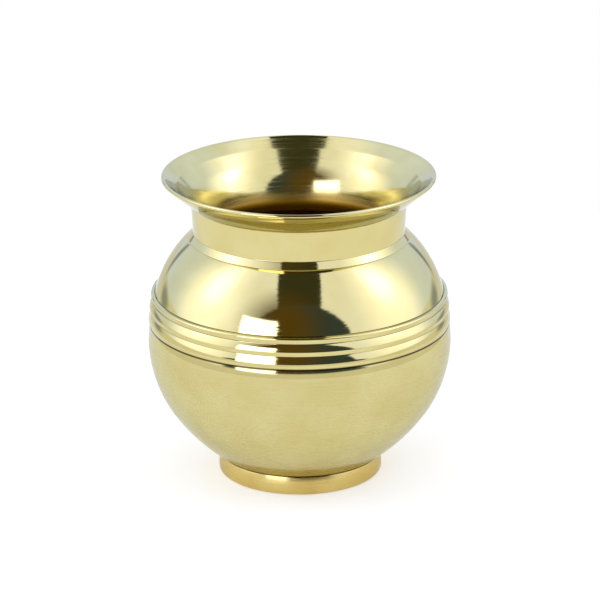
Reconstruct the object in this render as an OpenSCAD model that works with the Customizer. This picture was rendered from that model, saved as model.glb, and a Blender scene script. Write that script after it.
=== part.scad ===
// Brass kalash: a round-bellied water pot with a flared mouth, a turned rib band and a low foot.
// Origin: middle of the circle that the foot stands on. +Z runs up the pot's axis. Millimetres.
// Every piece is turned about the Z axis, so each module is one outline and one rotate_extrude.

/* [Belly] */
// Largest radius of the belly, at its equator
belly_r = 50; // [48:0.5:52]
// Height of the equator above the table
belly_z = 46; // [45:0.5:47]
// Wall of the shoulder and the bowl
wall = 1.6; // [1.4:0.1:1.8]

/* [Mouth] */
// Radius of the rim over its rounded lip
rim_r = 44.9; // [43:0.1:46]
// Height of the top of the rim
rim_z = 102.2; // [101:0.1:104]
// Thickness of the rounded lip
lip_t = 1.2; // [1:0.1:1.6]
// Outer radius of the neck where it meets its collar
neck_r = 34.9; // [34.5:0.1:35.3]
// Inner radius of the throat, the narrowest place
throat_r = 31; // [29:0.25:31.5]

/* [Rib band] */
// Height of the lowest groove, which is also the seam between bowl and shoulder
seam_z = 51.9; // [51.5:0.1:52.4]
// Distance up from the lowest groove to the middle one
lower_rib = 4.4; // [4:0.1:4.8]
// Distance up from the middle groove to the top one
upper_rib = 4; // [3.8:0.1:4.4]
// Depth of each groove, measured in from the crown above it
groove_depth = 0.45; // [0.3:0.05:0.6]
// How much further each crown stands out of the belly's curve than the one below it
rib_proud = 0.35; // [0.2:0.05:0.4]

/* [Foot] */
// Largest radius of the foot ring
foot_r = 27.1; // [26.8:0.1:27.6]
// Height at which the ring meets the bowl on the outside
foot_z = 6.4; // [6:0.1:6.8]
// Radial thickness of the foot ring
foot_t = 3.6; // [3:0.1:4]
// Clearance from the table to the bowl's flat bottom
base_z = 2.2; // [1.6:0.1:2.8]

/* [Hidden] */
$fn = 128;

brass = "#d8c37c";
braze_brass = "#b8964a";

// The belly's outline is a chain of arcs that run into each other without a corner.
// Each turn is the angle below or above the horizontal at which one arc hands over to the next.
upper_arc = 59;
upper_turn = 17.5;
dome_arc = 40.7;
lower_arc = 41.5;
lower_turn = 37;
under_arc = 67;

upper_c = [belly_r - upper_arc, belly_z];
dome_c = upper_c + (upper_arc - dome_arc) * [cos(upper_turn), sin(upper_turn)];
lower_c = [belly_r - lower_arc, belly_z];
under_c = lower_c + (lower_arc - under_arc) * [cos(lower_turn), -sin(lower_turn)];
// The under arc ends where the foot ring meets the bowl; a tighter arc then runs into the flat bottom.
under_turn = asin((under_c.y - foot_z) / under_arc);
base_arc = (foot_z - base_z) / (1 - sin(under_turn));
base_c = under_c + (under_arc - base_arc) * [cos(under_turn), -sin(under_turn)];

// Each groove has a steep upper side that rises to a rounded crown, and a long, slightly bulging slope
// below it.
groove_z = [seam_z, seam_z + lower_rib, seam_z + lower_rib + upper_rib];
// A crown is an arc between the tilts of the two sides it joins; the top one drops back to the dome.
crown_rise = 1.4;
crown_round = 0.8;
crown_start = -32;
crown_end = [8, 8, 62];
rib_bulge = 0.2;
bowl_bulge = 0.1;
slope_below = 2.8;
band_top = groove_z[2] + 2.2;

// The shoulder is cut flat where the mouth's collar sits on it, and the spigot fits its hole.
collar_h = 2.3;
collar_w = 1.5;
seat_z = dome_z(neck_r + collar_w);
spigot_r = neck_r - 0.3;
spigot_h = 1.5;

// The bowl's upstand laps inside the shoulder and grows out of the bowl's wall below the seam.
lap_h = 3.6;
lap_t = 1.2;
lap_r = belly_r - wall - 0.4;
lap_root = 1.8;
lap_bite = 0.3;

// The neck opens slightly on its way up and turns out into the flare.
neck_mid = [neck_r + 0.25, 88.6];
neck_top = [neck_r + 0.65, 93.1];
flare_turn = [neck_r + 0.7, 93.6];
flare_root = [neck_r + 1.4, 94.05];
flare_bend = [neck_r + 5.4, rim_z - 5.2];

// Underneath, the flare curves up past its bend until it touches the lip; inside, the lip hands over to
// a band that ends in a faint turned crease.
lip_round = lip_t / 2;
lip_c = [rim_r, rim_z] - lip_round * [1, 1];
lip_reach = lip_c - flare_bend;
lip_under = atan2(lip_reach.y, lip_reach.x) - asin(lip_round / norm(lip_reach)) - 90;
lip_over = 128;
flare_crease = [rim_r - 4.9, rim_z - 3.3];

// Below the crease the wall leans in as a funnel, down to a rounded edge at the throat.
funnel_top = [neck_r + 1.6, 95.1];
funnel_bend = [neck_r - 1.4, 91.8];
funnel_foot = [throat_r + 0.6, 84];
throat_nose = [throat_r - 0.3, 81.6];
throat_under = 0.7;

foot_round = 1.3;
foot_inner = foot_r - foot_t;
foot_barrel = 4;
braze_leg = 0.9;
foot_braze_w = 1.4;
cut_over = 1;

function arc(c, r, a0, a1, n) = [for (i = [0 : n]) let (a = a0 + (a1 - a0) * i / n) c + r * [cos(a), sin(a)]];
// A quadratic curve from a to c that leaves a and reaches c along the legs of the corner b
function bend(a, b, c, n) = [for (i = [0 : n]) let (t = i / n) a * (1 - t) ^ 2 + b * 2 * t * (1 - t) + c * t ^ 2];
function reversed(line) = [for (i = [len(line) - 1 : -1 : 0]) line[i]];
// Angle on a circle of radius r about centre height cz at which its height is z
function angle_at(cz, r, z) = asin((z - cz) / r);
// Height of the dome at radius x, at depth d under its outer surface
function dome_z(x, d = 0) = dome_c.y + sqrt((dome_arc - d) ^ 2 - (x - dome_c.x) ^ 2);
// Radius of the belly above its equator at height z, at depth d under its outer surface
function upper_r(z, d = 0) = upper_c.x + sqrt((upper_arc - d) ^ 2 - (z - upper_c.y) ^ 2);
// Angle on the arc under the bowl at which its outer surface has radius x
function base_angle(x) = -acos((x - base_c.x) / base_arc);

function crown_r(i) = upper_r(groove_z[i] + crown_rise) + rib_proud * (i + 1);
function groove_r(i) = crown_r(i) - groove_depth;
function groove(i) = [groove_r(i), groove_z[i]];
function crown(i) =
    arc([crown_r(i) - crown_round, groove_z[i] + crown_rise], crown_round, crown_start, crown_end[i], 5);
// The points between a and b, which is above it, on a line that bulges outwards
function slope(a, b, bulge) =
    let (run = b - a, line = bend(a, (a + b) / 2 + bulge * [run.y, -run.x] / norm(run), b, 5))
    [for (i = [1 : 4]) line[i]];
// From the bottom of groove i over the crown above it and up to the next groove
function rib(i) = concat([groove(i)], crown(i), slope(crown(i)[5], groove(i + 1), rib_bulge));

// The shoulder's wall from height z0 up to the mouth's seat, at depth d under its outer surface
function shoulder_line(z0, d) = concat(
    arc(upper_c, upper_arc - d, angle_at(upper_c.y, upper_arc - d, z0), upper_turn, 6),
    arc(dome_c, dome_arc - d, upper_turn + 2, angle_at(dome_c.y, dome_arc - d, seat_z), 16));

// The bowl's wall from height z0 down to the middle of the bottom, at depth d under its outer surface
function bowl_line(z0, d) = concat(
    arc(upper_c, upper_arc - d, angle_at(upper_c.y, upper_arc - d, z0), 0, 3),
    arc(lower_c, lower_arc - d, -2, -lower_turn, 14),
    arc(under_c, under_arc - d, -lower_turn - 2, -under_turn, 8),
    arc(base_c, base_arc - d, -under_turn - 3, -90, 10),
    [[0, base_z + d]]);

// Flared rim and neck in one piece: collar and spigot below, neck, flare and rounded lip
module mouth() {
    crease = [neck_r, seat_z + collar_h];
    outside = concat(
        [[spigot_r, seat_z - spigot_h], [spigot_r, seat_z], [neck_r + collar_w, seat_z]],
        bend(crease, neck_mid, neck_top, 6),
        bend(neck_top, flare_turn, flare_root, 4),
        bend(flare_root, flare_bend, lip_c + lip_round * [cos(lip_under), sin(lip_under)], 6));
    lip = arc(lip_c, lip_round, lip_under, lip_over, 14);
    inside = concat(
        [flare_crease],
        bend(funnel_top, funnel_bend, funnel_foot, 10),
        bend(funnel_foot, throat_nose, [throat_r + throat_under, seat_z - spigot_h], 6));
    color(brass)
        rotate_extrude()
            polygon(concat(outside, lip, inside));
}

// Upper half of the belly with its ribs, from the seam to the mouth's seat
module shoulder() {
    band = concat(rib(0), rib(1), [groove(2)], crown(2));
    color(brass)
        difference() {
            rotate_extrude()
                polygon(concat(band, shoulder_line(band_top, 0), reversed(shoulder_line(seam_z, wall))));
            translate([0, 0, seat_z - spigot_h - cut_over])
                cylinder(h = spigot_h + 2 * cut_over, r = spigot_r);
            translate([0, 0, seam_z - cut_over])
                cylinder(h = lap_h + cut_over, r = lap_r);
        }
}

// Lower half of the belly, closed at the bottom, with the upstand that laps inside the shoulder
module bowl() {
    belly = bowl_line(seam_z - slope_below, 0);
    skin = concat([groove(0)], reversed(slope(belly[0], groove(0), bowl_bulge)), belly);
    color(brass)
        union() {
            rotate_extrude()
                polygon(concat(skin, reversed(bowl_line(seam_z, wall))));
            rotate_extrude()
                polygon([
                    [lap_r - lap_t, seam_z - lap_root],
                    [lap_r + lap_bite, seam_z - lap_root],
                    [lap_r + lap_bite, seam_z],
                    [lap_r, seam_z],
                    [lap_r, seam_z + lap_h],
                    [lap_r - lap_t, seam_z + lap_h]]);
        }
}

// Low ring that the pot stands on, open underneath, seated against the bowl
module foot_ring() {
    round_c = [foot_r - foot_round, foot_round];
    seat = arc(base_c, base_arc, -under_turn, base_angle(foot_inner), 4);
    color(brass)
        rotate_extrude()
            polygon(concat(
                [[foot_inner, 0]],
                arc(round_c, foot_round, -90, -15, 5),
                bend([foot_r, foot_round], [foot_r, foot_barrel], seat[0], 5),
                [for (i = [1 : len(seat) - 1]) seat[i]]));
}

// Brazed fillet under the mouth's seat, round the spigot inside the shoulder
module neck_braze() {
    inner = dome_arc - wall;
    low = angle_at(dome_c.y, inner, dome_z(spigot_r + braze_leg, wall));
    high = angle_at(dome_c.y, inner, dome_z(spigot_r, wall));
    color(braze_brass)
        rotate_extrude()
            polygon(concat([[spigot_r, seat_z - spigot_h]], arc(dome_c, inner, low, high, 3)));
}

// Brazed fillet on top of the bowl's upstand, against the shoulder's wall
module belly_braze() {
    top = seam_z + lap_h;
    color(braze_brass)
        rotate_extrude()
            polygon([
                [lap_r - braze_leg, top],
                [upper_r(top, wall), top],
                [upper_r(top + braze_leg, wall), top + braze_leg]]);
}

// Brazed fillet between the foot ring's inner wall and the bowl's underside
module foot_braze() {
    contact = arc(base_c, base_arc, base_angle(foot_inner), base_angle(foot_inner - foot_braze_w), 3);
    color(braze_brass)
        rotate_extrude()
            polygon(concat([contact[0] - [0, braze_leg]], contact));
}

mouth();
shoulder();
bowl();
foot_ring();
neck_braze();
belly_braze();
foot_braze();
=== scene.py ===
import math

import bmesh
import bpy
import numpy as np
from mathutils import Matrix


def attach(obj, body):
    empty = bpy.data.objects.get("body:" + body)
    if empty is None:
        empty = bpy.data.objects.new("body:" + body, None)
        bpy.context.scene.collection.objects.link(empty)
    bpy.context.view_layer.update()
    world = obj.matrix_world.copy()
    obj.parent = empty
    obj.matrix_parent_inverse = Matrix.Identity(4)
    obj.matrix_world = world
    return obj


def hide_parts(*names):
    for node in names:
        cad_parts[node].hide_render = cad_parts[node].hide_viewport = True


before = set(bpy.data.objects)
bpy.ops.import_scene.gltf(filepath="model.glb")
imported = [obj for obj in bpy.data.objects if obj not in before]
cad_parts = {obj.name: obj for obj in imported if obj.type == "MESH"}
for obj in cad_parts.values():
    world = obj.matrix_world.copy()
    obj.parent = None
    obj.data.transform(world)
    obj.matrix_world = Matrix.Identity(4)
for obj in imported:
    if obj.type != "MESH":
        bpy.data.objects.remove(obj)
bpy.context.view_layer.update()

# A round-bellied brass water pot. Every piece is turned about the Z axis, which stands on the middle of
# the circle that the foot rests on. An outline is a list of (radius, height) points in millimetres.

MM = 0.001

# ---------------------------------------------------------------- sizes, in millimetres and degrees

# Belly: largest radius, the height of its equator, and the wall of the shoulder and the bowl
BELLY_R = 50.0
BELLY_Z = 46.0
WALL = 1.6

# Mouth: the rim over its rounded lip, the neck where it meets its collar, the throat and the collar
RIM_R = 44.9
RIM_Z = 102.2
LIP_T = 1.2
LIP_OVER = 128
NECK_R = 34.9
THROAT_R = 31.0
COLLAR_H = 2.3
COLLAR_W = 1.5
SPIGOT_R = NECK_R - 0.3
SPIGOT_H = 1.5

# Rib band: grooves from the lowest up, how far each crown stands out, and the shape of a crown, which is
# an arc between the tilts of the two sides that it joins
GROOVE_Z = (51.9, 56.3, 60.3)
GROOVE_DEPTH = 0.45
RIB_PROUD = 0.35
RIB_BULGE = 0.2
CROWN_RISE = 1.4
CROWN_ROUND = 0.8
CROWN_START = -32
CROWN_END = (8, 8, 62)
SLOPE_BELOW = 2.8
BOWL_BULGE = 0.1
BAND_TOP = GROOVE_Z[2] + 2.2

# Lap: the bowl's upstand inside the shoulder, which grows out of the bowl's wall below the seam
LAP_H = 3.6
LAP_TOP = GROOVE_Z[0] + LAP_H
LAP_T = 1.2
LAP_R = BELLY_R - WALL - 0.4
LAP_ROOT = 1.8

# Foot ring, and the height of the bowl's flat bottom above the table
FOOT_R = 27.1
FOOT_Z = 6.4
FOOT_T = 3.6
FOOT_IN = FOOT_R - FOOT_T
FOOT_ROUND = 1.3
FOOT_ROUND_END = -8
FOOT_BARREL = 4.0
BASE_Z = 2.2

# Legs of the brazed fillets: neck and belly, then the foot's height and width
BRAZE_LEG = 0.9
FOOT_BRAZE_W = 1.4

# The belly is a chain of arcs that run into each other without a corner. Each turn is the angle above or
# below the horizontal at which one arc hands over to the next.
UPPER_ARC = 59.0
UPPER_TURN = 17.5
DOME_ARC = 40.7
LOWER_ARC = 41.5
LOWER_TURN = 37.0
UNDER_ARC = 67.0


def at(angle):
    """Unit step at this many degrees above the horizontal."""
    return np.array([math.cos(math.radians(angle)), math.sin(math.radians(angle))])


UPPER_C = np.array([BELLY_R - UPPER_ARC, BELLY_Z])
DOME_C = UPPER_C + (UPPER_ARC - DOME_ARC) * at(UPPER_TURN)
LOWER_C = np.array([BELLY_R - LOWER_ARC, BELLY_Z])
UNDER_C = LOWER_C + (LOWER_ARC - UNDER_ARC) * at(-LOWER_TURN)
# The under arc ends at the foot ring, and a tighter one runs from there into the flat bottom.
UNDER_TURN = math.degrees(math.asin((UNDER_C[1] - FOOT_Z) / UNDER_ARC))
BASE_ARC = (FOOT_Z - BASE_Z) / (1 - math.sin(math.radians(UNDER_TURN)))
BASE_C = UNDER_C + (UNDER_ARC - BASE_ARC) * at(-UNDER_TURN)


# ---------------------------------------------------------------- outlines

# Millimetres between the points of a curve, and between those of the eased outline
STEP = 0.1
FINE_STEP = 0.05
# The kept points are at most this far apart, or this many degrees of turn
KEPT_STEP = 0.6
KEPT_TURN = 7
# A groove is felt for this far to each side, and counts as full at this depth
GROOVE_REACH = 0.3
GROOVE_FULL = 0.2
# A length below this counts as none
TINY = 1e-6


def arc(c, r, a0, a1):
    """Points on a circle of radius r about c, from angle a0 to a1."""
    n = max(2, int(r * abs(math.radians(a1 - a0)) / STEP))
    return [c + r * at(a0 + (a1 - a0) * i / n) for i in range(n + 1)]


def bend(a, b, c):
    """A quadratic curve from a to c that leaves and arrives along the legs of the corner b."""
    a, b, c = (np.array(p, float) for p in (a, b, c))
    n = max(2, int(np.linalg.norm(c - a) / STEP))
    return [a * (1 - t) ** 2 + b * 2 * t * (1 - t) + c * t * t for t in (i / n for i in range(n + 1))]


def slope(a, b, bulge):
    """From a up to b on a line that bulges outwards."""
    run = (b - a) / np.linalg.norm(b - a)
    return bend(a, (a + b) / 2 + bulge * np.array([run[1], -run[0]]), b)


def dome_z(x, d=0.0):
    """Height of the dome at radius x, at depth d under its skin."""
    return DOME_C[1] + math.sqrt((DOME_ARC - d) ** 2 - (x - DOME_C[0]) ** 2)


def upper_r(z, d=0.0):
    """Radius of the belly above its equator at height z, at depth d under its skin."""
    return UPPER_C[0] + math.sqrt((UPPER_ARC - d) ** 2 - (z - UPPER_C[1]) ** 2)


def angle_at(c, r, z):
    """Angle on a circle of radius r about c at which its height is z."""
    return math.degrees(math.asin((z - c[1]) / r))


def base_angle(x):
    """Angle on the arc under the bowl at which the skin has radius x."""
    return -math.degrees(math.acos((x - BASE_C[0]) / BASE_ARC))


# The shoulder is cut flat at this height, where the mouth's collar sits on it.
SEAT_Z = dome_z(NECK_R + COLLAR_W)


def crown_r(i):
    """Largest radius of the crown above groove i."""
    return upper_r(GROOVE_Z[i] + CROWN_RISE) + RIB_PROUD * (i + 1)


def groove(i):
    """Bottom of groove i."""
    return np.array([crown_r(i) - GROOVE_DEPTH, GROOVE_Z[i]])


def crown(i):
    """Rounded crown above groove i."""
    middle = np.array([crown_r(i) - CROWN_ROUND, GROOVE_Z[i] + CROWN_RISE])
    return arc(middle, CROWN_ROUND, CROWN_START, CROWN_END[i])


def rib(i):
    """From the bottom of groove i over its crown and up to the next groove."""
    return [groove(i)] + crown(i) + slope(crown(i)[-1], groove(i + 1), RIB_BULGE)


def shoulder_line(z0, d):
    """The shoulder's wall from height z0 up to the mouth's seat, at depth d under its skin."""
    return (arc(UPPER_C, UPPER_ARC - d, angle_at(UPPER_C, UPPER_ARC - d, z0), UPPER_TURN)
            + arc(DOME_C, DOME_ARC - d, UPPER_TURN, angle_at(DOME_C, DOME_ARC - d, SEAT_Z)))


def bowl_line(z0, d):
    """The bowl's wall from height z0 down to the middle of its bottom, at depth d under its skin."""
    return (arc(UPPER_C, UPPER_ARC - d, angle_at(UPPER_C, UPPER_ARC - d, z0), 0)
            + arc(LOWER_C, LOWER_ARC - d, 0, -LOWER_TURN)
            + arc(UNDER_C, UNDER_ARC - d, -LOWER_TURN, -UNDER_TURN)
            + arc(BASE_C, BASE_ARC - d, -UNDER_TURN, -90)
            + [np.array([0.0, BASE_Z + d])])


# Each outline below is a pair: the points of the piece's skin, then those of its hidden or inner side.

def mouth_outline():
    """Flared rim and neck in one: spigot, collar, neck, flare and rounded lip, then the funnel inside."""
    crease = (NECK_R, SEAT_Z + COLLAR_H)
    neck_mid = (NECK_R + 0.25, 88.6)
    neck_top = (NECK_R + 0.65, 93.1)
    flare_turn = (NECK_R + 0.7, 93.6)
    flare_root = (NECK_R + 1.4, 94.05)
    flare_bend = np.array([NECK_R + 5.4, RIM_Z - 5.2])
    lip_round = LIP_T / 2
    lip_c = np.array([RIM_R - lip_round, RIM_Z - lip_round])
    reach = lip_c - flare_bend
    rise = math.atan2(reach[1], reach[0])
    lip_under = math.degrees(rise - math.asin(lip_round / np.linalg.norm(reach))) - 90
    flare_crease = (RIM_R - 4.9, RIM_Z - 3.3)
    funnel_top = (NECK_R + 1.6, 95.1)
    funnel_bend = (NECK_R - 1.4, 91.8)
    funnel_foot = (THROAT_R + 0.6, 84.0)
    throat_nose = (THROAT_R - 0.3, 81.6)
    throat_end = (THROAT_R + 0.7, SEAT_Z - SPIGOT_H)
    outside = ([(SPIGOT_R, SEAT_Z - SPIGOT_H), (SPIGOT_R, SEAT_Z), (NECK_R + COLLAR_W, SEAT_Z)]
               + bend(crease, neck_mid, neck_top)
               + bend(neck_top, flare_turn, flare_root)
               + bend(flare_root, flare_bend, lip_c + lip_round * at(lip_under))
               + arc(lip_c, lip_round, lip_under, LIP_OVER))
    inside = ([flare_crease]
              + bend(funnel_top, funnel_bend, funnel_foot)
              + bend(funnel_foot, throat_nose, throat_end))
    return outside, inside


def shoulder_outline():
    """Upper half of the belly: the ribs and the dome, then the spigot's hole, the wall and the lap."""
    outside = rib(0) + rib(1) + [groove(2)] + crown(2) + shoulder_line(BAND_TOP, 0)
    hole = [(SPIGOT_R, SEAT_Z), (SPIGOT_R, dome_z(SPIGOT_R, WALL))]
    wall = [p for p in shoulder_line(LAP_TOP, WALL)[::-1] if p[0] > SPIGOT_R]
    return outside, hole + wall + [(LAP_R, LAP_TOP), (LAP_R, GROOVE_Z[0])]


def bowl_outline():
    """Lower half of the belly, from the seam down to the middle, and up inside to the upstand. Its ends
    stay apart: the ledge between them lies under the shoulder's edge and has no faces."""
    seam = GROOVE_Z[0]
    belly = bowl_line(seam - SLOPE_BELOW, 0)
    outside = slope(belly[0], groove(0), BOWL_BULGE)[::-1] + belly
    wall = bowl_line(seam - LAP_ROOT, WALL)[::-1]
    upstand_in = LAP_R - LAP_T
    upstand = [(upstand_in, seam - LAP_ROOT), (upstand_in, LAP_TOP), (LAP_R, LAP_TOP), (LAP_R, seam)]
    return outside, wall + upstand


def foot_outline():
    """Low ring, rounded where it stands, that widens downwards; its seat follows the bowl."""
    seat = arc(BASE_C, BASE_ARC, -UNDER_TURN, base_angle(FOOT_IN))
    round_c = np.array([FOOT_R - FOOT_ROUND, FOOT_ROUND])
    outside = ([(FOOT_IN, 0)]
               + arc(round_c, FOOT_ROUND, -90, FOOT_ROUND_END)
               + bend((FOOT_R, FOOT_ROUND), (FOOT_R, FOOT_BARREL), seat[0]))
    return outside, seat


def neck_braze_outline():
    """Fillet between the spigot and the inside of the dome."""
    inner = DOME_ARC - WALL
    outer_end = angle_at(DOME_C, inner, dome_z(SPIGOT_R + BRAZE_LEG, WALL))
    spigot_end = angle_at(DOME_C, inner, dome_z(SPIGOT_R, WALL))
    return [(SPIGOT_R, SEAT_Z - SPIGOT_H)] + arc(DOME_C, inner, outer_end, spigot_end), []


def belly_braze_outline():
    """Fillet between the top of the upstand and the inside of the shoulder."""
    wall_end = (upper_r(LAP_TOP + BRAZE_LEG, WALL), LAP_TOP + BRAZE_LEG)
    return [(LAP_R - BRAZE_LEG, LAP_TOP), (upper_r(LAP_TOP, WALL), LAP_TOP), wall_end], []


def foot_braze_outline():
    """Fillet between the foot ring's inner wall and the underside of the bowl."""
    under = arc(BASE_C, BASE_ARC, base_angle(FOOT_IN), base_angle(FOOT_IN - FOOT_BRAZE_W))
    return [under[0] - (0, BRAZE_LEG)] + under, []


def polish(outline, closed, ease):
    """Eases an outline by averaging neighbours, which rounds every edge, then keeps close points where it
    turns and wide ones where it runs straight. Returns each kept point, its distance along the outline and
    how deep in a groove it sits."""
    points = np.array([tuple(p) for p in outline], float)
    if closed:
        points = np.vstack([points, points[:1]])
    run = np.concatenate([[0], np.cumsum(np.linalg.norm(np.diff(points, axis=0), axis=1))])
    keep = np.concatenate([[True], np.diff(run) > TINY])
    points, run = points[keep], run[keep]
    count = int(run[-1] / FINE_STEP)
    even = np.linspace(0, run[-1], count + 1)
    fine = np.stack([np.interp(even, run, points[:, k]) for k in (0, 1)], axis=1)
    if closed:
        fine = fine[:-1]
    for _ in range(ease):
        if closed:
            fine = (np.roll(fine, 1, 0) + 2 * fine + np.roll(fine, -1, 0)) / 4
        else:
            fine[1:-1] = (fine[:-2] + 2 * fine[1:-1] + fine[2:]) / 4
    if closed:
        fine = np.vstack([fine, fine[:1]])
    leg = np.diff(fine, axis=0)
    length = np.linalg.norm(leg, axis=1)
    heading = np.unwrap(np.arctan2(leg[:, 1], leg[:, 0]))
    turn = np.concatenate([[0], np.abs(np.diff(heading))])
    effort = np.concatenate([[0], np.cumsum(length / KEPT_STEP + turn / math.radians(KEPT_TURN))])
    steps = np.arange(0, int(effort[-1]) + 1)
    index = np.unique(np.searchsorted(effort, steps * effort[-1] / steps[-1]).clip(0, len(fine) - 1))
    index[-1] = len(fine) - 1
    distance = np.concatenate([[0], np.cumsum(length)])
    return fine[index], distance[index], hollowness(fine, closed)[index]


def hollowness(fine, closed):
    """How deep each point sits in a groove, 0 to 1, from the points a short way to each side."""
    reach = round(GROOVE_REACH / FINE_STEP)
    if closed:
        before, after = np.roll(fine, reach, 0), np.roll(fine, -reach, 0)
    else:
        spread = np.pad(fine, ((reach, reach), (0, 0)), mode="edge")
        before, after = spread[:len(fine)], spread[2 * reach:]
    chord = after - before
    across = np.maximum(np.linalg.norm(chord, axis=1), TINY)[:, None]
    outward = np.stack([chord[:, 1], -chord[:, 0]], axis=1) / across
    depth = (((before + after) / 2 - fine) * outward).sum(axis=1)
    return np.clip(depth / GROOVE_FULL, 0, 1)


# ---------------------------------------------------------------- lathe

# Facets round each piece
FACETS = 256
# Points this close are one: where the bent grid meets itself, and in the finished mesh
WELD_MM = 0.001
SAME_POINT_MM = 0.0001
# Passes of averaging that round a turned edge, and the sharper edge of a fillet
TURNED_EASE = 6
FILLET_EASE = 2


def add(tree, kind, links=None, **settings):
    """A node with its settings, and with its inputs set to values or joined to other nodes' outputs."""
    node = tree.nodes.new(kind)
    for name, value in settings.items():
        setattr(node, name, value)
    for key, value in (links or {}).items():
        socket = node.inputs[key]
        if isinstance(value, bpy.types.Node):
            value = next(s for s in value.outputs if s.enabled)
        if isinstance(value, bpy.types.NodeSocket):
            tree.links.new(value, socket)
        else:
            socket.default_value = value
    return node


def lathe_tree():
    """Turns the object's own line of points about the Z axis, as one grid that is bent round and joined
    up, and carries the line's attributes onto the surface."""
    tree = bpy.data.node_groups.new("lathe", "GeometryNodeTree")
    face = tree.interface
    face.new_socket("Outline", in_out="INPUT", socket_type="NodeSocketGeometry")
    face.new_socket("Facets", in_out="INPUT", socket_type="NodeSocketInt")
    face.new_socket("Skin", in_out="INPUT", socket_type="NodeSocketMaterial")
    face.new_socket("Inside", in_out="INPUT", socket_type="NodeSocketMaterial")
    face.new_socket("Turned", in_out="OUTPUT", socket_type="NodeSocketGeometry")
    given = add(tree, "NodeGroupInput")
    outline = given.outputs["Outline"]
    count = add(tree, "GeometryNodeAttributeDomainSize", {"Geometry": outline})
    rows = add(tree, "ShaderNodeMath", {0: given.outputs["Facets"], 1: 1.0}, operation="ADD")
    grid = add(tree, "GeometryNodeMeshGrid",
               {"Vertices X": count.outputs["Point Count"], "Vertices Y": rows})
    index = add(tree, "GeometryNodeInputIndex")
    share = add(tree, "ShaderNodeMath", {0: index, 1: rows}, operation="DIVIDE")
    on_line = add(tree, "ShaderNodeMath", {0: share}, operation="FLOOR")
    facet = add(tree, "ShaderNodeMath", {0: index, 1: rows}, operation="MODULO")
    part_turn = add(tree, "ShaderNodeMath", {0: facet, 1: given.outputs["Facets"]}, operation="DIVIDE")
    angle = add(tree, "ShaderNodeMath", {0: part_turn, 1: math.tau}, operation="MULTIPLY")
    place = add(tree, "GeometryNodeInputPosition")
    point = add(tree, "GeometryNodeSampleIndex",
                {"Geometry": outline, "Value": place, "Index": on_line}, data_type="FLOAT_VECTOR")
    swung = add(tree, "ShaderNodeVectorRotate", {"Vector": point, "Angle": angle}, rotation_type="Z_AXIS")
    turned = add(tree, "GeometryNodeSetPosition", {"Geometry": grid.outputs["Mesh"], "Position": swung})
    for name in ("along", "inside", "hollow"):
        read = add(tree, "GeometryNodeInputNamedAttribute", {"Name": name}, data_type="FLOAT")
        sample = add(tree, "GeometryNodeSampleIndex",
                     {"Geometry": outline, "Value": read.outputs["Attribute"], "Index": on_line},
                     data_type="FLOAT")
        turned = add(tree, "GeometryNodeStoreNamedAttribute",
                     {"Geometry": turned, "Name": name, "Value": sample},
                     data_type="FLOAT", domain="POINT")
    joined = add(tree, "GeometryNodeMergeByDistance", {"Geometry": turned, "Distance": WELD_MM * MM})
    smooth = add(tree, "GeometryNodeSetShadeSmooth", {"Geometry": joined})
    real = add(tree, "GeometryNodeRealizeInstances", {"Geometry": smooth})
    skin = add(tree, "GeometryNodeSetMaterial", {"Geometry": real, "Material": given.outputs["Skin"]})
    read = add(tree, "GeometryNodeInputNamedAttribute", {"Name": "inside"}, data_type="FLOAT")
    deep = add(tree, "FunctionNodeCompare",
               {"A": read.outputs["Attribute"], "B": 0.5}, operation="GREATER_THAN")
    inner = add(tree, "GeometryNodeSetMaterial",
                {"Geometry": skin, "Selection": deep, "Material": given.outputs["Inside"]})
    add(tree, "NodeGroupOutput", {"Turned": inner})
    return tree


LATHE = lathe_tree()

# Where two pieces meet on the outside: radius, height and how far the brown painted shade along the joint
# spreads
SHADED_JOINTS = (
    (crown_r(0) - GROOVE_DEPTH, GROOVE_Z[0], 0.5),
    (UNDER_C[0] + UNDER_ARC * math.cos(math.radians(UNDER_TURN)), FOOT_Z, 0.35),
)


def turned_piece(name, outline, skin, inside, node, closed=True, ease=TURNED_EASE):
    """Turns an outline into a piece that stands for a CAD node. One that isn't closed leaves a gap
    between its two ends, as the bowl's does."""
    outer, inner = outline
    points, along, hollow = polish(list(outer) + list(inner), closed, ease)
    outer_length = polish(outer, False, 0)[1][-1]
    # Near a joint the hollow value rises, which draws the brown painted shade along it
    for x, z, spread in SHADED_JOINTS:
        gap = np.hypot(points[:, 0] - x, points[:, 1] - z)
        hollow = np.maximum(hollow, np.clip(1 - gap / spread, 0, 1))
    line = bpy.data.meshes.new(name + "_outline")
    line.from_pydata([(x * MM, 0, z * MM) for x, z in points], [], [])
    for label, values in (("along", along), ("inside", along > outer_length), ("hollow", hollow)):
        attribute = line.attributes.new(label, "FLOAT", "POINT")
        attribute.data.foreach_set("value", np.asarray(values, np.float32))
    work = bpy.data.objects.new(name + "_work", line)
    bpy.context.scene.collection.objects.link(work)
    modifier = work.modifiers.new("lathe", "NODES")
    modifier.node_group = LATHE
    sockets = {s.name: s.identifier for s in LATHE.interface.items_tree if s.in_out == "INPUT"}
    modifier[sockets["Facets"]] = FACETS
    modifier[sockets["Skin"]] = skin
    modifier[sockets["Inside"]] = inside
    evaluated = work.evaluated_get(bpy.context.evaluated_depsgraph_get())
    mesh = bpy.data.meshes.new_from_object(evaluated)
    bpy.data.objects.remove(work)
    mesh.name = name
    bm = bmesh.new()
    bm.from_mesh(mesh)
    bmesh.ops.remove_doubles(bm, verts=bm.verts, dist=SAME_POINT_MM * MM)
    bmesh.ops.recalc_face_normals(bm, faces=bm.faces)
    bm.to_mesh(mesh)
    bm.free()
    piece = bpy.data.objects.new(name, mesh)
    bpy.context.scene.collection.objects.link(piece)
    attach(piece, "root")
    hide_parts(node)


# ---------------------------------------------------------------- materials

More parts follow.
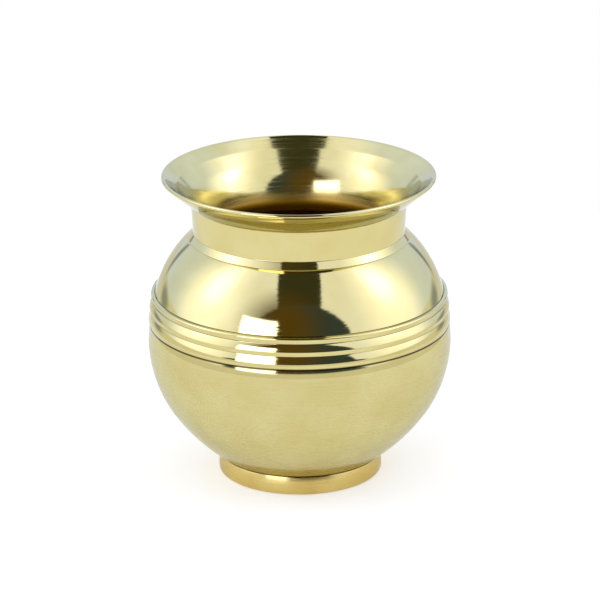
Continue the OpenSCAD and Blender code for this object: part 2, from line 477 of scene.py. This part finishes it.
# Real marks are finer than these, which are as coarse as they need to be to show. A scratch runs this
# far round the piece, in radians, and the next is this far off, in millimetres.
SCRATCH_TURN = 0.2
SCRATCH_MM = 0.35
# Millimetres between the rings that the tool leaves, and across a patch of colour
RING_MM = 0.9
CLOUD_MM = 14
# Most of a noise lies between these two values
NOISE_LOW = 0.35
NOISE_HIGH = 0.65
# How deep in a groove the brown painted shade starts to show and is at its thickest, and how much of the
# brass it then hides
SHADE_FROM = 0.28
SHADE_FULL = 0.5
SHADE_HIDES = 0.9
GROOVE_SHADE = "#4a3a18"
# Polished band beside a seam: its roughness, and how far it takes to fade out
BAND_ROUGH = 0.08
BAND_FADE = 1.5
# Down in the throat: an amber painted in for the light that bounces round inside the brass, and a rougher
# finish where no tool reaches
THROAT_BOUNCE_LIGHT = "#a87e18"
THROAT_ROUGH = 0.42
# Brass seen edge on stays a little short of white
EDGE_TINT = (0.8, 0.82, 0.84, 1)


def linear(code):
    """sRGB hex to linear colour."""
    parts = [int(code[i:i + 2], 16) / 255 for i in (1, 3, 5)]
    return [c / 12.92 if c <= 0.04045 else ((c + 0.055) / 1.055) ** 2.4 for c in parts] + [1.0]


def brass(name, light, dark, roughness, mark_depth, scuff=0.48, ring_mm=RING_MM, band_mm=0.0,
          throat_mm=None):
    """Turned brass. Rings left by the tool run round the piece, patches of two colours drift over it, fine
    scratches follow the turning, and a brown painted shade darkens the grooves and the joints. mark_depth is
    in millimetres, scuff is the share by which marks change the roughness, band_mm is a polished band at the
    start of the outline, and throat_mm is where along the outline the throat's painted amber of bounced
    light and its rougher finish start and are full."""
    material = bpy.data.materials.new(name)
    material.use_nodes = True
    tree = material.node_tree
    tree.nodes.clear()
    along = add(tree, "ShaderNodeAttribute", attribute_name="along").outputs["Fac"]
    hollow = add(tree, "ShaderNodeAttribute", attribute_name="hollow").outputs["Fac"]
    place = add(tree, "ShaderNodeTexCoord").outputs["Object"]
    flat = add(tree, "ShaderNodeVectorMath", {0: place, 1: (1, 1, 0)}, operation="MULTIPLY")
    round_it = add(tree, "ShaderNodeVectorMath", {0: flat}, operation="NORMALIZE")
    longways = add(tree, "ShaderNodeVectorMath", {0: round_it, "Scale": 1 / SCRATCH_TURN}, operation="SCALE")
    upward = add(tree, "ShaderNodeMath", {0: along, 1: 1 / SCRATCH_MM}, operation="MULTIPLY")
    upright = add(tree, "ShaderNodeCombineXYZ", {"Z": upward})
    follow = add(tree, "ShaderNodeVectorMath", {0: longways, 1: upright}, operation="ADD")
    rings = add(tree, "ShaderNodeTexNoise", {"W": along, "Scale": 1 / ring_mm, "Detail": 4.0},
                noise_dimensions="1D")
    scratch = add(tree, "ShaderNodeTexNoise", {"Vector": follow, "Scale": 1.0, "Detail": 3.0})
    cloud = add(tree, "ShaderNodeTexNoise",
                {"Vector": place, "Scale": 1 / (CLOUD_MM * MM), "Detail": 3.0})
    drift = add(tree, "ShaderNodeMapRange",
                {"Value": cloud.outputs[0], "From Min": NOISE_LOW, "From Max": NOISE_HIGH})
    tint = add(tree, "ShaderNodeMix", {0: drift, 6: linear(light), 7: linear(dark)}, data_type="RGBA")
    # Painted shade: the grooves and the joints are darkened towards brown
    painted_shade = add(tree, "ShaderNodeMapRange",
               {"Value": hollow, "From Min": SHADE_FROM, "From Max": SHADE_FULL,
                "To Min": 0.0, "To Max": SHADE_HIDES})
    colour = add(tree, "ShaderNodeMix",
                 {0: painted_shade, 6: tint.outputs[2], 7: linear(GROOVE_SHADE)}, data_type="RGBA").outputs[2]
    marks = add(tree, "ShaderNodeMix",
                {0: 0.5, 2: rings.outputs[0], 3: scratch.outputs[0]}, data_type="FLOAT")
    rough = add(tree, "ShaderNodeMapRange",
                {"Value": marks, "From Min": NOISE_LOW, "From Max": NOISE_HIGH,
                 "To Min": roughness * (1 - scuff), "To Max": roughness * (1 + scuff)})
    if band_mm:
        edge = add(tree, "ShaderNodeMapRange",
                   {"Value": along, "From Min": band_mm, "From Max": band_mm + BAND_FADE})
        rough = add(tree, "ShaderNodeMix", {0: edge, 2: BAND_ROUGH, 3: rough}, data_type="FLOAT")
    # Painted light: down the throat the colour turns to an amber that stands in for light bounced round
    # inside the brass
    if throat_mm:
        deep = add(tree, "ShaderNodeMapRange",
                   {"Value": along, "From Min": throat_mm[0], "From Max": throat_mm[1]})
        rough = add(tree, "ShaderNodeMix", {0: deep, 2: rough, 3: THROAT_ROUGH}, data_type="FLOAT")
        colour = add(tree, "ShaderNodeMix",
                     {0: deep, 6: colour, 7: linear(THROAT_BOUNCE_LIGHT)}, data_type="RGBA").outputs[2]
    bump = add(tree, "ShaderNodeBump", {"Height": marks, "Strength": 1.0, "Distance": mark_depth * MM})
    shader = add(tree, "ShaderNodeBsdfPrincipled",
                 {"Base Color": colour, "Metallic": 1.0, "Roughness": rough, "Normal": bump,
                  "Specular Tint": EDGE_TINT})
    add(tree, "ShaderNodeOutputMaterial", {"Surface": shader})
    return material


# Brass buffed on a wheel: a pale gold mirror, whose faint rings roughen the edges of what it reflects
polished_brass = brass("polished_brass", "#d5c98a", "#d0c280", 0.06, 0.0008)
# Brass dressed with emery on the lathe: broad soft light with fine level marks, and a mirror-bright band
# beside the seam, where the wheel that buffed the ribs also reached
satin_brass = brass("satin_brass", "#cfc588", "#c9bc7c", 0.24, 0.0004, band_mm=3.0)
# The same emery finish on the cast ring, in a warmer and deeper gold than the shells: a painted reflection
# of the table round the foot, which the bowl lights warm
foot_brass = brass("foot_brass", "#d3bd74", "#cab066", 0.22, 0.0004)
# Brass brushed round the inside of the flare: soft-edged reflections, then a rougher finish and a painted
# amber of bounced light down in the throat
brushed_brass = brass("brushed_brass", "#d9cd8e", "#d0c27e", 0.12, 0.0012, scuff=0.6,
                      throat_mm=(48.5, 53.5))
# Shell left as it came off the lathe: brownish and dull, with deeper rings
dull_inside_brass = brass("dull_inside_brass", "#b89a5c", "#9c7f47", 0.38, 0.002, ring_mm=0.8)
# Brazing metal that was never dressed: browner than the shells, matt and slightly lumpy
brazing_brass = brass("brazing_brass", "#c9a862", "#b08e4c", 0.4, 0.01, ring_mm=1.5)


# ---------------------------------------------------------------- pieces

turned_piece("mouth_turned", mouth_outline(), polished_brass, brushed_brass, "mouth")
turned_piece("shoulder_turned", shoulder_outline(), polished_brass, dull_inside_brass,
             "shoulder")
turned_piece("bowl_turned", bowl_outline(), satin_brass, dull_inside_brass, "bowl",
             closed=False)
turned_piece("foot_ring_turned", foot_outline(), foot_brass, foot_brass, "foot_ring")
turned_piece("neck_braze_turned", neck_braze_outline(), brazing_brass, brazing_brass,
             "neck_braze", ease=FILLET_EASE)
turned_piece("belly_braze_turned", belly_braze_outline(), brazing_brass, brazing_brass,
             "belly_braze", ease=FILLET_EASE)
turned_piece("foot_braze_turned", foot_braze_outline(), brazing_brass, brazing_brass,
             "foot_braze", ease=FILLET_EASE)


# ---------------------------------------------------------------- stage

TABLE_R = 0.3
TABLE_SIDES = 96
TABLE_WHITE = "#f2f2f0"
TABLE_GLOW = 0.36
TABLE_ROUGH = 0.9


def stage():
    """A round white table top, lit evenly, with nothing beyond it but the white room."""
    top = bpy.data.meshes.new("table_top")
    bm = bmesh.new()
    bmesh.ops.create_circle(bm, cap_ends=True, segments=TABLE_SIDES, radius=TABLE_R)
    bm.to_mesh(top)
    bm.free()
    # Matt white laminate: no gloss, so the pot throws no reflection on it, only a soft shade
    material = bpy.data.materials.new("matt_white_laminate")
    material.use_nodes = True
    shader = material.node_tree.nodes["Principled BSDF"]
    shader.inputs["Base Color"].default_value = linear(TABLE_WHITE)
    shader.inputs["Roughness"].default_value = TABLE_ROUGH
    shader.inputs["Specular IOR Level"].default_value = 0.0
    shader.inputs["Emission Color"].default_value = (1, 1, 1, 1)
    shader.inputs["Emission Strength"].default_value = TABLE_GLOW
    top.materials.append(material)
    table = bpy.data.objects.new("table_top", top)
    bpy.context.scene.collection.objects.link(table)


# ---------------------------------------------------------------- studio

# Light of the soft boxes, which are on the cool side, and the even light that falls on matt things
SOFT_BOX = (1.17, 1.23, 1.58, 1)
EVEN_LIGHT = (0.7, 0.7, 0.7, 1)
WHITE = (1, 1, 1, 1)
# Overhead, the boxes part along a slot. Its half width grows from nothing behind to its full width in
# front as this slope gives it, and grows faster still above this height.
SLOT_SLOPE = (0.0, -0.225, 0.174)
SLOT_OPENS_AT = 0.96
SLOT_OPENS_BY = 2.7
# The cloth along the edges of the boxes hangs in folds: how many to a radian of height, and how far
# they sway
FOLDS = 45.0
FOLD_SWAY = 0.13
# What the brass shows, painted in this order. Bearings are degrees from the front, towards +X, and
# degrees up. A pair stands at both sides, and a square is a rectangle with straight edges.
# name, form, middle, half size, softness of the edge, light
PATCHES = (
    ("cool_back", "pair round", (180, 20), (78, 90), 0.2, (0.91, 1.05, 1.55)),
    ("box_glow", "pair round", (85, 26), (24, 34), 0.75, (1.8, 1.85, 2.4)),
    ("box_middle", "pair round", (86, 36), (11, 14), 0.8, (2.6, 2.7, 4.0)),
    ("overhead_gap", "slot", (0, 0), (1, 1), 0.012, (0.05, 0.05, 0.025)),
    ("front_gap", "round", (0, 0), (42, 42), 0.03, (0.05, 0.07, 0.09)),
    ("skirting", "round", (-4, 0), (55, 8), 0.05, (0.05, 0.07, 0.09)),
    ("warm_wood", "round", (-14, 20), (26, 26), 0.7, (0.12, 0.075, 0.012)),
    ("table_edge", "square", (0, -46), (181, 46), 0.01, (0.95, 0.95, 0.95)),
    ("window", "square", (-33, 12), (15, 13), 0.06, (3.2, 3.3, 4.4)),
    ("upright_seam", "pair round", (149, 5), (2.5, 8), 0.6, (0.38, 0.42, 0.52)),
    ("low_seam", "pair round", (134, -4), (9, 3.5), 0.6, (0.4, 0.46, 0.6)),
)


def studio():
    """White soft boxes all round, which is what polished brass shows: they part in front and overhead,
    and a window stands in the gap. Seen straight, the room is plain white."""
    room = bpy.data.worlds.new("studio")
    bpy.context.scene.world = room
    room.use_nodes = True
    tree = room.node_tree
    tree.nodes.clear()
    way = add(tree, "ShaderNodeTexCoord").outputs["Generated"]
    axes = add(tree, "ShaderNodeSeparateXYZ", {"Vector": way})
    steep = add(tree, "ShaderNodeMath", {0: axes.outputs["Z"]}, operation="ARCSINE")
    front = add(tree, "ShaderNodeMath", {0: axes.outputs["Y"], 1: -1.0}, operation="MULTIPLY")

    fold = add(tree, "ShaderNodeTexNoise", {"W": steep, "Scale": FOLDS, "Detail": 4.0},
               noise_dimensions="1D")
    sway = add(tree, "ShaderNodeMath", {0: fold.outputs[0], 1: 0.5}, operation="SUBTRACT")
    ahead = add(tree, "ShaderNodeMath", {0: front, 1: 0.0}, operation="MAXIMUM")
    ragged = add(tree, "ShaderNodeMath", {0: sway, 1: ahead}, operation="MULTIPLY")
    side = add(tree, "ShaderNodeMath", {0: ragged, 1: FOLD_SWAY, 2: axes.outputs["X"]},
               operation="MULTIPLY_ADD")

    bearing = add(tree, "ShaderNodeMath", {0: side, 1: front}, operation="ARCTAN2")
    radians = add(tree, "ShaderNodeCombineXYZ", {"X": bearing, "Y": steep})
    one_side = add(tree, "ShaderNodeVectorMath", {0: radians, "Scale": 180 / math.pi}, operation="SCALE")
    degrees = add(tree, "ShaderNodeSeparateXYZ", {"Vector": one_side})
    either = add(tree, "ShaderNodeMath", {0: degrees.outputs["X"]}, operation="ABSOLUTE")
    both_sides = add(tree, "ShaderNodeCombineXYZ", {"X": either, "Y": degrees.outputs["Y"]})

    slant = add(tree, "ShaderNodeVectorMath", {0: way, 1: SLOT_SLOPE}, operation="DOT_PRODUCT")
    above = add(tree, "ShaderNodeMath", {0: axes.outputs["Z"], 1: SLOT_OPENS_AT}, operation="SUBTRACT")
    opening = add(tree, "ShaderNodeMath", {0: above, 1: 0.0}, operation="MAXIMUM")
    half_width = add(tree, "ShaderNodeMath", {0: opening, 1: SLOT_OPENS_BY, 2: slant.outputs["Value"]},
                     operation="MULTIPLY_ADD")
    off_middle = add(tree, "ShaderNodeMath", {0: side}, operation="ABSOLUTE")
    past_edge = add(tree, "ShaderNodeMath", {0: off_middle, 1: half_width}, operation="SUBTRACT")
    slot = add(tree, "ShaderNodeMath", {0: past_edge, 1: 1.0}, operation="ADD")

    level = SOFT_BOX
    for name, form, centre, half, edge, light in PATCHES:
        bearings = both_sides if "pair" in form else one_side
        offset = add(tree, "ShaderNodeVectorMath", {0: bearings, 1: centre + (0,)},
                     operation="SUBTRACT")
        share = add(tree, "ShaderNodeVectorMath", {0: offset, 1: half + (1,)}, operation="DIVIDE")
        if "slot" in form:
            away = slot
        elif "square" in form:
            whole = add(tree, "ShaderNodeVectorMath", {0: share}, operation="ABSOLUTE")
            sides = add(tree, "ShaderNodeSeparateXYZ", {"Vector": whole})
            away = add(tree, "ShaderNodeMath", {0: sides.outputs["X"], 1: sides.outputs["Y"]},
                       operation="MAXIMUM")
        else:
            away = add(tree, "ShaderNodeVectorMath", {0: share}, operation="LENGTH").outputs["Value"]
        mask = add(tree, "ShaderNodeMapRange",
                   {"Value": away, "From Min": 1 + edge, "From Max": 1 - edge,
                    "To Min": 0.0, "To Max": 1.0},
                   interpolation_type="SMOOTHSTEP", label=name)
        level = add(tree, "ShaderNodeMix", {0: mask, 6: level, 7: light + (1,)},
                    data_type="RGBA").outputs[2]

    ray = add(tree, "ShaderNodeLightPath")
    for kind, plain in (("Is Diffuse Ray", EVEN_LIGHT), ("Is Camera Ray", WHITE)):
        level = add(tree, "ShaderNodeMix", {0: ray.outputs[kind], 6: level, 7: plain},
                    data_type="RGBA").outputs[2]
    light = add(tree, "ShaderNodeBackground", {"Color": level})
    add(tree, "ShaderNodeOutputWorld", {"Surface": light})


# ---------------------------------------------------------------- camera

# The camera stands in front, in metres, and looks down at 19 degrees, which is 71 up from straight down.
CAMERA_AT = (0.0002, -1.2, 0.4718)
CAMERA_TILT = 71.0
CAMERA_ROLL = -0.31
LENS_MM = 230.8
SENSOR_MM = 36
NEAREST = 0.01


def camera():
    """A long lens, so that the pot's ellipses stay nearly parallel."""
    data = bpy.data.cameras.new("camera")
    data.lens = LENS_MM
    data.sensor_width = SENSOR_MM
    data.clip_start = NEAREST
    eye = bpy.data.objects.new("camera", data)
    bpy.context.scene.collection.objects.link(eye)
    eye.matrix_world = (Matrix.Translation(CAMERA_AT)
                        @ Matrix.Rotation(math.radians(CAMERA_TILT), 4, "X")
                        @ Matrix.Rotation(math.radians(CAMERA_ROLL), 4, "Z"))
    bpy.context.scene.camera = eye


stage()
studio()
camera()
bpy.context.scene.view_settings.view_transform = "Standard"
